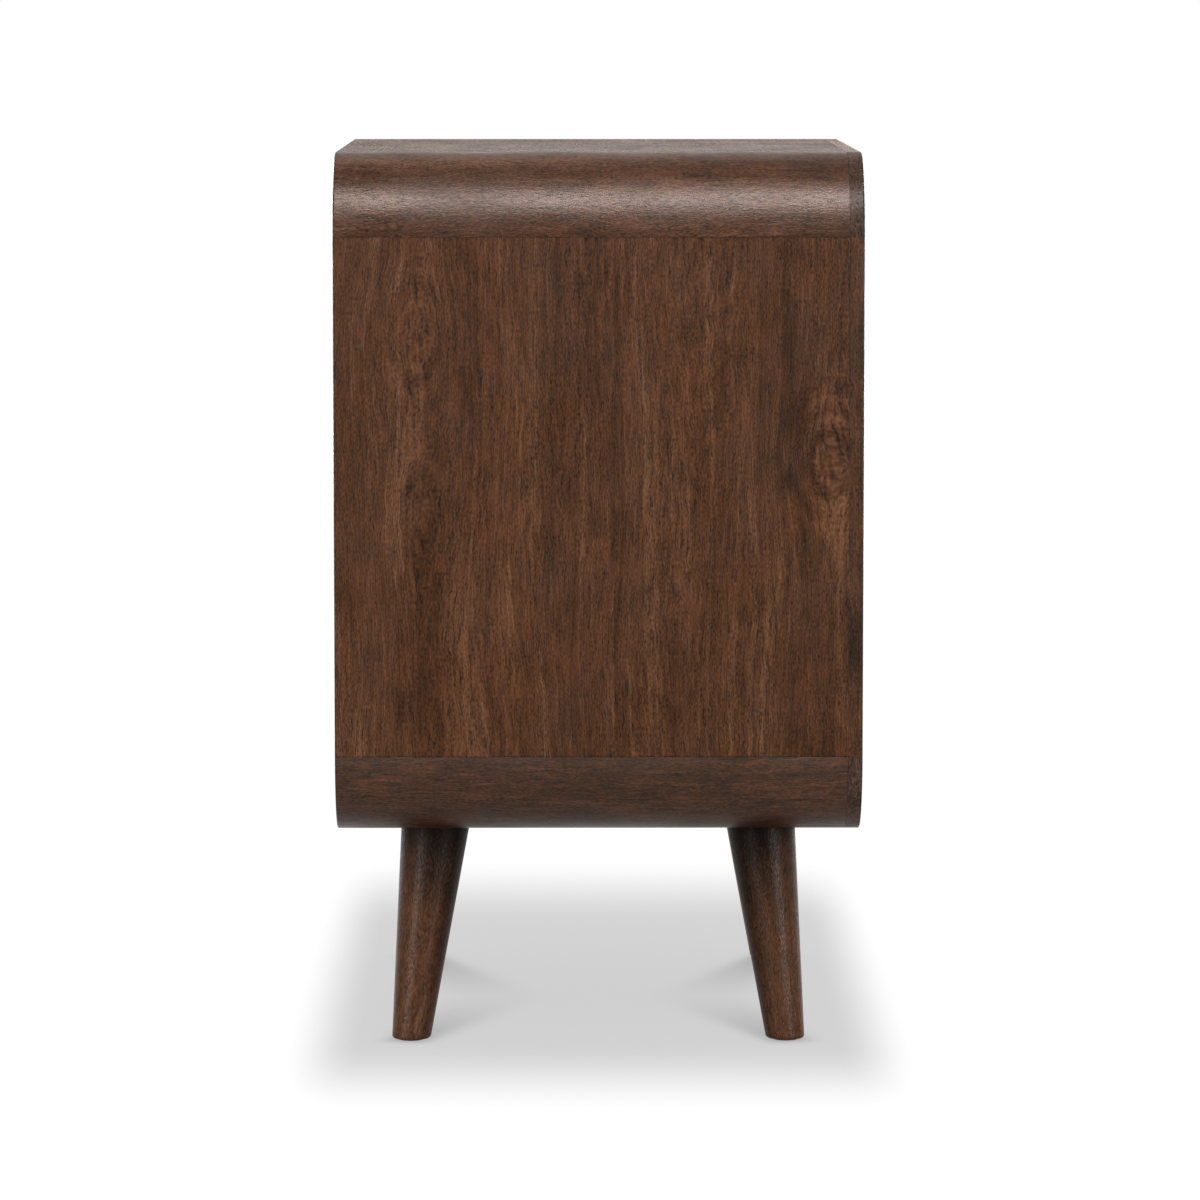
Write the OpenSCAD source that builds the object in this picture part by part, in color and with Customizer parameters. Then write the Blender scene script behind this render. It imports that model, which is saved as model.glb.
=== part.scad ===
// Nightstand: a round-cornered wooden case on four splayed legs, with two inset drawers.
// Millimetres. X is the width, Y runs from the front (negative) to the back, Z is up from the floor.
// Left and right are as seen from the front.

/* [Case] */
// Width over the side panels
case_w = 500; // [420:1:640]
// Depth, front to back
case_d = 380; // [365:1:480]
// Height of the case alone, without its legs
case_h = 492; // [460:1:620]
// Outer radius of the four long rounded corners
corner_r = 59; // [45:1:70]
// Thickness of the panels and shoulders
wall_t = 20; // [18:0.5:24]
// Thickness of the facing that covers the front edges
facing_t = 10.5; // [9:0.5:16]
// Width of the line left at each glued joint
joint_gap = 0.3; // [0.2:0.05:0.4]

/* [Back panel] */
// Thickness of the back panel
back_t = 8; // [5:0.5:10]
// Distance of the back panel's face from the back edges
back_inset = 4; // [2:0.5:8]
// Width of the ledge that the back panel is screwed to
ledge_w = 8; // [7:0.5:10]
// Play around the back panel
back_play = 0.5; // [0.3:0.1:0.8]
// Diameter of a back panel screw
back_screw_d = 3; // [2.5:0.1:3.5]
// Length of a back panel screw
back_screw_l = 24; // [18:1:30]
// Distance of the outer screws from the ends of the straight edges
back_screw_edge = 30; // [15:1:60]

/* [Dowels] */
// Diameter of the wooden dowels in the case joints
dowel_d = 8; // [6:0.5:9]
// Length of a dowel
dowel_l = 28; // [20:1:32]
// Gap round a dowel
dowel_fit = 0.1; // [0.05:0.05:0.2]
// Gap at each end of a dowel
dowel_end_play = 0.5; // [0.3:0.1:1]
// Distance of the outer dowels from the front and back of a seam
dowel_edge = 45; // [25:1:80]
// Dowels in each seam
dowels_a_seam = 3; // [2:1:5]

/* [Divider rail] */
// Height of the rail between the drawers
rail_h = 18; // [14:0.5:24]
// Depth of the rail between the drawers
rail_d = 60; // [45:1:90]
// Distance of the rail's dowels from its ends front and back
rail_dowel_edge = 12; // [10:0.5:16]

/* [Legs] */
// Height from the floor to the underside of the case
leg_h = 158; // [120:1:200]
// Leg diameter where it meets the case
leg_top_d = 50; // [40:0.5:52]
// Leg diameter at the floor
leg_foot_d = 28; // [24:0.5:34]
// Splay of each leg, the same sideways and front to back, in degrees
leg_splay = 6.5; // [3:0.5:10]
// Distance from a side to the centre of a leg's top
leg_in_x = 85; // [80:1:110]
// Distance from the front or back to the centre of a leg's top
leg_in_y = 70.5; // [60:1:100]
// Diameter of the bolt that holds a leg
bolt_d = 8; // [6:0.5:10]
// Length of that bolt inside the leg
bolt_in_leg = 45; // [30:1:60]
// Gap round the bolt
bolt_fit = 0.1; // [0.05:0.05:0.2]
// Diameter of the flange of the nut that takes the bolt
nut_flange_d = 24; // [20:0.5:26]
// Thickness of the nut's flange
nut_flange_t = 1.6; // [1.2:0.1:2.2]
// Diameter of the nut's barrel
nut_barrel_d = 11; // [11:0.5:13]
// Length of the nut with its barrel
nut_l = 12; // [9:0.5:14]
// Gap round the nut in the case bottom
nut_fit = 0.25; // [0.15:0.05:0.4]
// Diameter of the glide under a foot
glide_d = 18; // [14:0.5:21]
// Thickness of a glide
glide_t = 3; // [2:0.5:5]
// Height that a glide stands out below the wood
glide_proud = 1; // [0.5:0.1:1.5]
// Diameter of a glide's nail
glide_nail_d = 2.5; // [2:0.1:4]
// Length of a glide's nail
glide_nail_l = 12; // [8:1:18]
// Gap round a glide and its nail
glide_fit = 0.1; // [0.05:0.05:0.2]

/* [Drawer fronts] */
// Thickness of a drawer front
front_t = 18; // [16:0.5:22]
// Gap round a drawer front
front_gap = 2; // [1.5:0.1:3]
// Width of the finger pull cut into a drawer front's top edge
pull_w = 110; // [80:1:140]
// Depth of the finger pull
pull_drop = 22; // [16:0.5:26]

/* [Drawer boxes] */
// Thickness of a drawer box's sides
box_side_t = 12; // [10:0.5:15]
// Thickness of a drawer box's front and back
box_end_t = 12; // [10:0.5:15]
// Height of a drawer box
box_h = 156; // [120:1:160]
// Length of a drawer box, front to back
box_l = 304; // [303:1:330]
// Height of the box's lower edge above the drawer front's lower edge
box_lift = 18; // [14:0.5:22]
// Thickness of the drawer bottom
bottom_t = 6; // [4:0.5:9]
// Depth of the grooves that hold the drawer bottom
groove_depth = 6; // [4:0.5:7]
// Height of those grooves above the box's lower edge
groove_lift = 12; // [9:0.5:16]
// Play of the drawer bottom in its grooves
bottom_play = 0.2; // [0.1:0.05:0.3]
// Fingers and sockets at each corner of a drawer box, an odd number
finger_count = 9; // [5:2:13]
// Gap between the fingers
finger_fit = 0.1; // [0.05:0.05:0.15]
// Diameter of a screw that holds a drawer front
front_screw_d = 4; // [3:0.1:4.5]
// Head diameter of a drawer front's screw
front_screw_head_d = 8; // [7:0.1:9]
// Length of a drawer front's screw
front_screw_l = 24; // [20:1:26]
// Distance of those screws from the edges inside the box
front_screw_edge = 34; // [25:1:45]

/* [Drawer runners] */
// Length of a runner
runner_l = 300; // [280:1:302]
// Distance of a runner's front end behind the drawer front
runner_setback = 2; // [1:0.5:4]
// Room that a runner takes between the case and the drawer box
runner_w = 12.7; // [12.4:0.1:13.5]
// Height of a runner
runner_h = 45; // [42:0.5:50]
// Thickness of a runner's sheet steel
sheet_t = 1.2; // [1:0.05:1.3]
// Width of the member on the case
case_member_w = 9.6; // [9:0.1:10]
// Distance from the case to the middle member
middle_start = 2.6; // [2.4:0.05:2.8]
// Width of the middle member
middle_w = 8.6; // [8.2:0.1:8.9]
// Height of the middle member
middle_h = 34.6; // [33.8:0.1:35]
// Width of the member on the drawer
drawer_member_w = 7.7; // [7:0.1:7.7]
// Height of the member on the drawer
drawer_member_h = 22; // [21:0.1:22.6]
// Length of a ball cage
cage_l = 60; // [50:1:80]
// Thickness of a ball cage's sheet
cage_t = 0.6; // [0.5:0.05:0.7]
// Gap between a ball and its track
ball_gap = 0.25; // [0.2:0.05:0.35]
// Balls in each row
balls_a_row = 4; // [3:1:6]
// Diameter of a runner's screws
runner_screw_d = 3.5; // [3:0.1:4]
// Length of the screws into the case
case_screw_l = 16; // [12:1:17]
// Length of the screws into the drawer box
box_screw_l = 10; // [8:0.5:10.5]
// Distance of the outer screws from a runner's ends
runner_screw_edge = 35; // [20:1:60]
// Screws in each runner member
screws_a_runner = 3; // [2:1:4]
// Gap round every screw
screw_fit = 0.1; // [0.05:0.05:0.2]

/* [Hidden] */

$fn = 96;
LEFT = -1;
RIGHT = 1;
FRONT = -1;
BACK = 1;
LOWER = 0;
UPPER = 1;
// Length that a cutting shape runs past the face it opens
over = 2;

walnut = [0.34, 0.23, 0.17];
walnut_dark = [0.27, 0.18, 0.13];
pale_wood = [0.72, 0.58, 0.42];
steel = [0.62, 0.63, 0.65];
felt_grey = [0.25, 0.24, 0.23];

case_z0 = leg_h;
case_z1 = leg_h + case_h;
mid_z = leg_h + case_h / 2;
front_y = -case_d / 2;
back_y = case_d / 2;
shell_y = front_y + facing_t + joint_gap;
inner_w = case_w - 2 * wall_t;
inner_h = case_h - 2 * wall_t;
inner_r = corner_r - wall_t;
// Where the straight panels end and the rounded shoulders begin
seam_x = case_w / 2 - corner_r;
seam_z = case_h / 2 - corner_r;

back_face_y = back_y - back_inset;
ledge_y = back_face_y - back_t;

leg_x = case_w / 2 - leg_in_x;
leg_y = case_d / 2 - leg_in_y;
// Lean of a leg along its own diagonal, which gives the splay on both sides
leg_lean = atan(sqrt(2) * tan(leg_splay));
leg_len = leg_h / cos(leg_lean);
leg_taper = (leg_top_d - leg_foot_d) / leg_len;
nut_top = (wall_t - joint_gap - sin(leg_lean) * nut_flange_d / 2) / cos(leg_lean);
glide_top = glide_t + glide_fit;

bay_h = (inner_h - rail_h) / 2;
rail_z = case_z0 + wall_t + bay_h;
front_w = inner_w - 2 * front_gap;
front_h = bay_h - 2 * front_gap;
// Back face of a drawer front, where its box begins
box_y0 = front_y + front_t;
box_y1 = box_y0 + box_l;
box_w = inner_w - 2 * runner_w;
box_in_w = box_w - 2 * box_side_t;
finger_h = box_h / finger_count;

runner_y0 = box_y0 + runner_setback;
runner_y1 = runner_y0 + runner_l;
drawer_member_start = runner_w - drawer_member_w;
runner_screw_head_d = runner_screw_d + 2 * sheet_t;

// Lower edge of a drawer front
function front_z(level) = case_z0 + wall_t + front_gap + level * (bay_h + rail_h);
// Lower edge of a drawer box
function box_z(level) = front_z(level) + box_lift;
// Centre line of a drawer's runners
function runner_z(level) = box_z(level) + box_h / 2;
// Count values spaced evenly from one end to the other
function spread(first, last, count) =
    [for (i = [0 : count - 1]) first + (last - first) * i / (count - 1)];

// A block between two opposite corners
module block(low, high) {
    translate(low) cube(high - low);
}

// A section drawn in X and Z, carried along Y
module along_y(y0, y1) {
    translate([0, y1, 0]) rotate([90, 0, 0]) linear_extrude(y1 - y0) children();
}

// Rounded rectangle in X and Z, centred on the case
module round_outline(w, h, r) {
    translate([0, mid_z]) {
        square([w - 2 * r, h], center = true);
        square([w, h - 2 * r], center = true);
        for (sx = [-1, 1]) {
            for (sz = [-1, 1]) {
                translate([sx * (w / 2 - r), sz * (h / 2 - r)]) circle(r);
            }
        }
    }
}

// A quarter of a ring round one long corner of the case
module corner_ring(sx, sz, y0, y1) {
    turn = sx > 0 ? (sz > 0 ? 0 : 90) : (sz > 0 ? 270 : 180);
    translate([sx * seam_x, y1, mid_z + sz * seam_z])
        rotate([0, turn, 0])
            rotate([90, 0, 0])
                rotate_extrude(angle = 90)
                    translate([inner_r, 0]) square([wall_t, y1 - y0]);
}

// A screw with a flush conical head; its head faces +Z at the origin
module flush_screw(d, head_d, l, grow = 0) {
    head_h = (head_d - d) / 2;
    translate([0, 0, -l - grow]) cylinder(h = l + grow, d = d + 2 * grow);
    translate([0, 0, -head_h]) cylinder(h = head_h, d1 = d + 2 * grow, d2 = head_d + 2 * grow);
    if (grow > 0) cylinder(h = over, d = head_d + 2 * grow);
}

// Dowels across the eight seams between panels and shoulders
module seam_dowels(d, l) {
    for (y = spread(shell_y + dowel_edge, ledge_y - dowel_edge, dowels_a_seam)) {
        for (sx = [-1, 1]) {
            for (sz = [-1, 1]) {
                translate([sx * (case_w - wall_t) / 2, y, mid_z + sz * seam_z])
                    cylinder(h = l, d = d, center = true);
                translate([sx * seam_x, y, mid_z + sz * (case_h - wall_t) / 2])
                    rotate([0, 90, 0]) cylinder(h = l, d = d, center = true);
            }
        }
    }
}

// Dowels that hold the divider rail in the side panels
module rail_dowels(d, l) {
    for (sx = [-1, 1]) {
        for (y = [shell_y + rail_dowel_edge, front_y + rail_d - rail_dowel_edge]) {
            translate([sx * inner_w / 2, y, rail_z + rail_h / 2])
                rotate([0, 90, 0]) cylinder(h = l, d = d, center = true);
        }
    }
}

module dowel_holes() {
    seam_dowels(dowel_d + 2 * dowel_fit, dowel_l + 2 * dowel_end_play);
    rail_dowels(dowel_d + 2 * dowel_fit, dowel_l + 2 * dowel_end_play);
}

// Places a screw at each fixing point of the back panel
module at_back_screws() {
    x_in = inner_w / 2 + ledge_w / 2;
    z_in = inner_h / 2 + ledge_w / 2;
    for (s = [-1, 1]) {
        for (x = spread(-seam_x + back_screw_edge, seam_x - back_screw_edge, 3)) {
            translate([x, back_face_y, mid_z + s * z_in]) rotate([-90, 0, 0]) children();
        }
        for (z = spread(-seam_z + back_screw_edge, seam_z - back_screw_edge, 3)) {
            translate([s * x_in, back_face_y, mid_z + z]) rotate([-90, 0, 0]) children();
        }
    }
}

module back_screw(grow = 0) {
    flush_screw(back_screw_d, 2 * back_screw_d, back_screw_l, grow);
}

// The ledge for the back panel and its screw holes
module back_cut() {
    along_y(ledge_y, back_y + over)
        round_outline(inner_w + 2 * ledge_w, inner_h + 2 * ledge_w, inner_r + ledge_w);
    at_back_screws() back_screw(screw_fit);
}

// Stands what follows on a leg's axis, with its origin under the case
module on_leg(sx, sy) {
    translate([sx * leg_x, sy * leg_y, leg_h])
        rotate(a = leg_lean, v = [sy, -sx, 0])
            children();
}

// Upright place at the middle of a foot, on the floor
module under_foot(sx, sy) {
    reach = leg_h * tan(leg_splay);
    translate([sx * (leg_x + reach), sy * (leg_y + reach), 0]) children();
}

module each_leg() {
    for (sx = [-1, 1]) {
        for (sy = [-1, 1]) {
            $sx = sx;
            $sy = sy;
            children();
        }
    }
}

// Runner parts are drawn with X from the case's wall towards the drawer and Z from the centre line
module at_runner(level, side) {
    translate([side * inner_w / 2, 0, runner_z(level)])
        mirror([side > 0 ? 1 : 0, 0, 0])
            children();
}

// A channel of bent sheet, open towards the drawer or towards the case
module channel(x0, w, h, y0, y1, web_first = true) {
    x1 = x0 + w;
    difference() {
        block([x0, y0, -h / 2], [x1, y1, h / 2]);
        if (web_first) {
            block([x0 + sheet_t, y0 - over, -h / 2 + sheet_t], [x1 + over, y1 + over, h / 2 - sheet_t]);
        } else {
            block([x0 - over, y0 - over, -h / 2 + sheet_t], [x1 - sheet_t, y1 + over, h / 2 - sheet_t]);
        }
    }
}

// Screws through the member on the case
module case_member_screws(grow = 0) {
    for (y = spread(runner_y0 + runner_screw_edge, runner_y1 - runner_screw_edge, screws_a_runner)) {
        translate([sheet_t, y, 0]) rotate([0, 90, 0])
            flush_screw(runner_screw_d, runner_screw_head_d, case_screw_l, grow);
    }
}

// Screws through the member on the drawer
module drawer_member_screws(grow = 0) {
    for (y = spread(runner_y0 + runner_screw_edge, runner_y1 - runner_screw_edge, screws_a_runner)) {
        translate([runner_w - sheet_t, y, 0]) rotate([0, -90, 0])
            flush_screw(runner_screw_d, runner_screw_head_d, box_screw_l, grow);
    }
}

// Two rows of balls held by a thin bent strip
module ball_cage(web_x, lip_x, row_z, ball_d, y0) {
    ball_x = (web_x + lip_x) / 2 + cage_t;
    block([web_x, y0, -row_z - cage_t / 2], [web_x + cage_t, y0 + cage_l, row_z + cage_t / 2]);
    for (s = [-1, 1]) {
        block([web_x, y0, s * row_z - cage_t / 2], [lip_x, y0 + cage_l, s * row_z + cage_t / 2]);
        for (y = spread(y0 + ball_d, y0 + cage_l - ball_d, balls_a_row)) {
            translate([ball_x, y, s * row_z]) sphere(d = ball_d);
        }
    }
}

module side_panel(side) {
    x = side * (case_w - wall_t) / 2;
    z_in = seam_z - joint_gap;
    color(walnut) difference() {
        block([x - wall_t / 2, shell_y, mid_z - z_in], [x + wall_t / 2, back_y, mid_z + z_in]);
        dowel_holes();
        back_cut();
        for (level = [LOWER, UPPER]) {
            at_runner(level, side) case_member_screws(screw_fit);
        }
    }
}

module flat_panel(z0) {
    x_in = seam_x - joint_gap;
    difference() {
        block([-x_in, shell_y, z0], [x_in, back_y, z0 + wall_t]);
        dowel_holes();
        back_cut();
    }
}

module top_panel() {
    color(walnut) flat_panel(case_z1 - wall_t);
}

module bottom_panel() {
    color(walnut) difference() {
        flat_panel(case_z0);
        each_leg() on_leg($sx, $sy) {
            translate([0, 0, -over]) cylinder(h = nut_top + over, d = nut_barrel_d + 2 * nut_fit);
            translate([0, 0, nut_top - nut_flange_t])
                cylinder(h = wall_t, d = nut_flange_d + 2 * nut_fit);
        }
    }
}

module shoulder(sx, sz) {
    color(walnut) difference() {
        corner_ring(sx, sz, shell_y, back_y);
        dowel_holes();
        back_cut();
    }
}

module facing_stile(side) {
    x = side * (case_w - wall_t) / 2;
    z_in = seam_z - joint_gap;
    color(walnut_dark)
        block(
            [x - wall_t / 2, front_y, mid_z - z_in],
            [x + wall_t / 2, front_y + facing_t, mid_z + z_in]
        );
}

module facing_rail(z0) {
    x_in = seam_x - joint_gap;
    color(walnut_dark) block([-x_in, front_y, z0], [x_in, front_y + facing_t, z0 + wall_t]);
}

module facing_corner(sx, sz) {
    color(walnut_dark) corner_ring(sx, sz, front_y, front_y + facing_t);
}

module divider_rail() {
    x_in = inner_w / 2 - joint_gap;
    color(walnut_dark) difference() {
        block([-x_in, front_y, rail_z], [x_in, front_y + rail_d, rail_z + rail_h]);
        dowel_holes();
    }
}

module joint_dowels() {
    color(pale_wood) {
        seam_dowels(dowel_d, dowel_l);
        rail_dowels(dowel_d, dowel_l);
    }
}

module back_panel() {
    grow = 2 * (ledge_w - back_play);
    color(walnut) difference() {
        along_y(ledge_y, back_face_y)
            round_outline(inner_w + grow, inner_h + grow, inner_r + ledge_w - back_play);
        at_back_screws() back_screw(screw_fit);
    }
}

module back_panel_screws() {
    color(steel) at_back_screws() back_screw();
}

module leg(sx, sy) {
    color(walnut) difference() {
        intersection() {
            on_leg(sx, sy)
                translate([0, 0, -leg_len - leg_foot_d])
                    cylinder(
                        h = leg_len + 2 * leg_foot_d,
                        d1 = leg_foot_d - leg_taper * leg_foot_d,
                        d2 = leg_top_d + leg_taper * leg_foot_d
                    );
            block([-case_w, -case_d, glide_proud], [case_w, case_d, leg_h]);
        }
        on_leg(sx, sy)
            translate([0, 0, -bolt_in_leg - dowel_end_play])
                cylinder(h = bolt_in_leg + leg_foot_d, d = bolt_d + 2 * bolt_fit);
        under_foot(sx, sy) {
            translate([0, 0, -over]) cylinder(h = glide_top + over, d = glide_d + 2 * glide_fit);
            cylinder(h = glide_top + glide_nail_l, d = glide_nail_d + 2 * glide_fit);
        }
    }
}

module leg_bolts() {
    color(steel) each_leg() on_leg($sx, $sy)
        translate([0, 0, -bolt_in_leg]) cylinder(h = bolt_in_leg + nut_top, d = bolt_d);
}

module leg_nuts() {
    color(steel) each_leg() on_leg($sx, $sy) difference() {
        union() {
            translate([0, 0, nut_top - nut_l]) cylinder(h = nut_l, d = nut_barrel_d);
            translate([0, 0, nut_top - nut_flange_t]) cylinder(h = nut_flange_t, d = nut_flange_d);
        }
        translate([0, 0, nut_top - nut_l - over])
            cylinder(h = nut_l + 2 * over, d = bolt_d + 2 * bolt_fit);
    }
}

module foot_glides() {
    color(felt_grey) each_leg() under_foot($sx, $sy) {
        cylinder(h = glide_t, d = glide_d);
        cylinder(h = glide_t + glide_nail_l, d = glide_nail_d);
    }
}

module runner_case(level, side) {
    color(steel) at_runner(level, side) difference() {
        channel(0, case_member_w, runner_h, runner_y0, runner_y1);
        case_member_screws(screw_fit);
    }
}

module runner_case_screws() {
    color(steel) for (level = [LOWER, UPPER]) {
        for (side = [LEFT, RIGHT]) {
            at_runner(level, side) case_member_screws();
        }
    }
}

module runner_middle(level, side) {
    color(steel) at_runner(level, side)
        channel(middle_start, middle_w, middle_h, runner_y0, runner_y1);
}

// The outer cage runs behind the middle member, the inner cage in front, between it and the drawer's
module ball_cages(level) {
    outer_room = (runner_h - middle_h) / 2 - sheet_t;
    outer_z = (runner_h / 2 - sheet_t + middle_h / 2) / 2;
    inner_room = (middle_h - drawer_member_h) / 2 - sheet_t;
    inner_z = (middle_h / 2 - sheet_t + drawer_member_h / 2) / 2;
    outer_web = (sheet_t + middle_start - cage_t) / 2;
    inner_web = (middle_start + sheet_t + drawer_member_start - cage_t) / 2;
    color(steel) for (side = [LEFT, RIGHT]) {
        at_runner(level, side) {
            ball_cage(
                outer_web, case_member_w - sheet_t, outer_z,
                outer_room - 2 * ball_gap, runner_y1 - cage_l
            );
            ball_cage(
                inner_web, middle_start + middle_w - sheet_t, inner_z,
                inner_room - 2 * ball_gap, runner_y0
            );
        }
    }
}

module runner_drawer(level, side) {
    color(steel) at_runner(level, side) difference() {
        channel(drawer_member_start, drawer_member_w, drawer_member_h, runner_y0, runner_y1, false);
        drawer_member_screws(screw_fit);
    }
}

module runner_drawer_screws(level) {
    color(steel) for (side = [LEFT, RIGHT]) {
        at_runner(level, side) drawer_member_screws();
    }
}

// Screws from inside a drawer box into its front
module front_screws_at(level, grow = 0) {
    for (sx = [-1, 1]) {
        for (z = [box_z(level) + front_screw_edge, box_z(level) + box_h - front_screw_edge]) {
            translate([sx * (box_in_w / 2 - front_screw_edge), box_y0 + box_end_t, z])
                rotate([-90, 0, 0])
                    flush_screw(front_screw_d, front_screw_head_d, front_screw_l, grow);
        }
    }
}

module drawer_front(level) {
    z0 = front_z(level);
    straight = pull_w / 2 - pull_drop;
    color(walnut) difference() {
        along_y(front_y, box_y0) intersection() {
            round_outline(front_w, inner_h - 2 * front_gap, inner_r - front_gap);
            translate([-front_w / 2, z0]) square([front_w, front_h]);
        }
        along_y(front_y - over, box_y0 + over) translate([0, z0 + front_h]) {
            square([2 * straight, 2 * pull_drop], center = true);
            for (sx = [-1, 1]) {
                translate([sx * straight, 0]) circle(pull_drop);
            }
        }
        front_screws_at(level, screw_fit);
    }
}

module front_screws(level) {
    color(steel) front_screws_at(level);
}

// The sockets of one kind of board at the four corners of a box: first = 0 or 1 picks which fingers
module corner_sockets(level, first) {
    for (sx = [-1, 1]) {
        for (y = [box_y0, box_y1 - box_end_t]) {
            x = sx * (box_w - box_side_t) / 2;
            for (i = [first : 2 : finger_count - 1]) {
                at_end = i == 0 || i == finger_count - 1;
                low_fit = i == 0 ? over : finger_fit;
                high_fit = i == finger_count - 1 ? over : finger_fit;
                block(
                    [
                        x - box_side_t / 2 - finger_fit,
                        y - finger_fit,
                        box_z(level) + i * finger_h - low_fit
                    ],
                    [
                        x + box_side_t / 2 + finger_fit,
                        y + box_end_t + finger_fit,
                        box_z(level) + (i + 1) * finger_h + high_fit
                    ]
                );
            }
        }
    }
}

// The room that the drawer bottom takes, with its play
module bottom_room(level, play) {
    x_in = box_in_w / 2 + groove_depth - bottom_play + play;
    y_in = box_end_t - groove_depth + bottom_play - play;
    z0 = box_z(level) + groove_lift;
    block([-x_in, box_y0 + y_in, z0 - play], [x_in, box_y1 - y_in, z0 + bottom_t + play]);
}

module box_end(level, y) {
    difference() {
        block([-box_w / 2, y, box_z(level)], [box_w / 2, y + box_end_t, box_z(level) + box_h]);
        corner_sockets(level, 1);
        bottom_room(level, bottom_play);
    }
}

module box_front(level) {
    color(pale_wood) difference() {
        box_end(level, box_y0);
        front_screws_at(level, screw_fit);
    }
}

module box_back(level) {
    color(pale_wood) box_end(level, box_y1 - box_end_t);
}

module box_side(level, side) {
    x = side * (box_w - box_side_t) / 2;
    color(pale_wood) difference() {
        block(
            [x - box_side_t / 2, box_y0, box_z(level)],
            [x + box_side_t / 2, box_y1, box_z(level) + box_h]
        );
        corner_sockets(level, 0);
        bottom_room(level, bottom_play);
        at_runner(level, side) drawer_member_screws(screw_fit);
    }
}

module box_bottom(level) {
    color(pale_wood) bottom_room(level, 0);
}

side_panel(LEFT);  // side_panel_left
side_panel(RIGHT);  // side_panel_right
top_panel();
bottom_panel();
shoulder(LEFT, 1);  // shoulder_top_left
shoulder(RIGHT, 1);  // shoulder_top_right
shoulder(LEFT, -1);  // shoulder_bottom_left
shoulder(RIGHT, -1);  // shoulder_bottom_right
facing_stile(LEFT);  // facing_stile_left
facing_stile(RIGHT);  // facing_stile_right
facing_rail(case_z1 - wall_t);  // facing_rail_top
facing_rail(case_z0);  // facing_rail_bottom
facing_corner(LEFT, 1);  // facing_corner_top_left
facing_corner(RIGHT, 1);  // facing_corner_top_right
facing_corner(LEFT, -1);  // facing_corner_bottom_left
facing_corner(RIGHT, -1);  // facing_corner_bottom_right
divider_rail();
joint_dowels();
back_panel();
back_panel_screws();
leg(LEFT, FRONT);  // leg_front_left
leg(RIGHT, FRONT);  // leg_front_right
leg(LEFT, BACK);  // leg_back_left
leg(RIGHT, BACK);  // leg_back_right
leg_bolts();
leg_nuts();
foot_glides();
runner_case(UPPER, LEFT);  // runner_case_upper_left
runner_case(UPPER, RIGHT);  // runner_case_upper_right
runner_case(LOWER, LEFT);  // runner_case_lower_left
runner_case(LOWER, RIGHT);  // runner_case_lower_right
runner_case_screws();
runner_middle(UPPER, LEFT);  // runner_middle_upper_left
runner_middle(UPPER, RIGHT);  // runner_middle_upper_right
ball_cages(UPPER);  // ball_cages_upper
runner_middle(LOWER, LEFT);  // runner_middle_lower_left
runner_middle(LOWER, RIGHT);  // runner_middle_lower_right
ball_cages(LOWER);  // ball_cages_lower
drawer_front(UPPER);  // drawer_front_upper
box_front(UPPER);  // box_front_upper
box_back(UPPER);  // box_back_upper
box_side(UPPER, LEFT);  // box_side_upper_left
box_side(UPPER, RIGHT);  // box_side_upper_right
box_bottom(UPPER);  // box_bottom_upper
runner_drawer(UPPER, LEFT);  // runner_drawer_upper_left
runner_drawer(UPPER, RIGHT);  // runner_drawer_upper_right
runner_drawer_screws(UPPER);  // runner_drawer_screws_upper
front_screws(UPPER);  // front_screws_upper
drawer_front(LOWER);  // drawer_front_lower
box_front(LOWER);  // box_front_lower
box_back(LOWER);  // box_back_lower
box_side(LOWER, LEFT);  // box_side_lower_left
box_side(LOWER, RIGHT);  // box_side_lower_right
box_bottom(LOWER);  // box_bottom_lower
runner_drawer(LOWER, LEFT);  // runner_drawer_lower_left
runner_drawer(LOWER, RIGHT);  // runner_drawer_lower_right
runner_drawer_screws(LOWER);  // runner_drawer_screws_lower
front_screws(LOWER);  // front_screws_lower
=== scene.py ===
import math

import bmesh
import bpy
from mathutils import Matrix, Vector


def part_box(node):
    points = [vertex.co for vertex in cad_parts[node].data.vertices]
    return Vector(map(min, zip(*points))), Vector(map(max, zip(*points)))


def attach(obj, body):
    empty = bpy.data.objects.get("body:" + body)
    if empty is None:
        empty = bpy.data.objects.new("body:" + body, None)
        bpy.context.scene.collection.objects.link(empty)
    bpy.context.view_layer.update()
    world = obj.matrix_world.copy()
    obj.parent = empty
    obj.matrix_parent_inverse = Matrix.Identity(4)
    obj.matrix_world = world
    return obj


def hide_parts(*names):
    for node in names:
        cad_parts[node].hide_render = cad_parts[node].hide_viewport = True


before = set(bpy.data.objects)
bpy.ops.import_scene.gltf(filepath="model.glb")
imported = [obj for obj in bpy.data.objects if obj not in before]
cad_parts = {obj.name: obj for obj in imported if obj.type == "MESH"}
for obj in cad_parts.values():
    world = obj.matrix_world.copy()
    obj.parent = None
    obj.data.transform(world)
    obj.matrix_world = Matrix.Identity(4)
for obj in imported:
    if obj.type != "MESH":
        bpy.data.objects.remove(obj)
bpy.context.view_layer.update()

MM = 0.001

# The camera stands well back on the nightstand's left, almost square to the side panel. It is a little
# higher than the top and looks slightly down through a long lens.
CAMERA_LENS = 177.0
CAMERA_PLACE = (-4.462, 0.0228, 0.7630)
CAMERA_TILT = math.radians(84.141)
CAMERA_TURN = math.radians(-90.322)
camera_data = bpy.data.cameras.new("camera")
camera_data.sensor_width = 36.0
camera_data.lens = CAMERA_LENS
camera = bpy.data.objects.new("camera", camera_data)
camera.location = CAMERA_PLACE
camera.rotation_euler = (CAMERA_TILT, 0, CAMERA_TURN)
bpy.context.scene.collection.objects.link(camera)
bpy.context.scene.camera = camera

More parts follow.
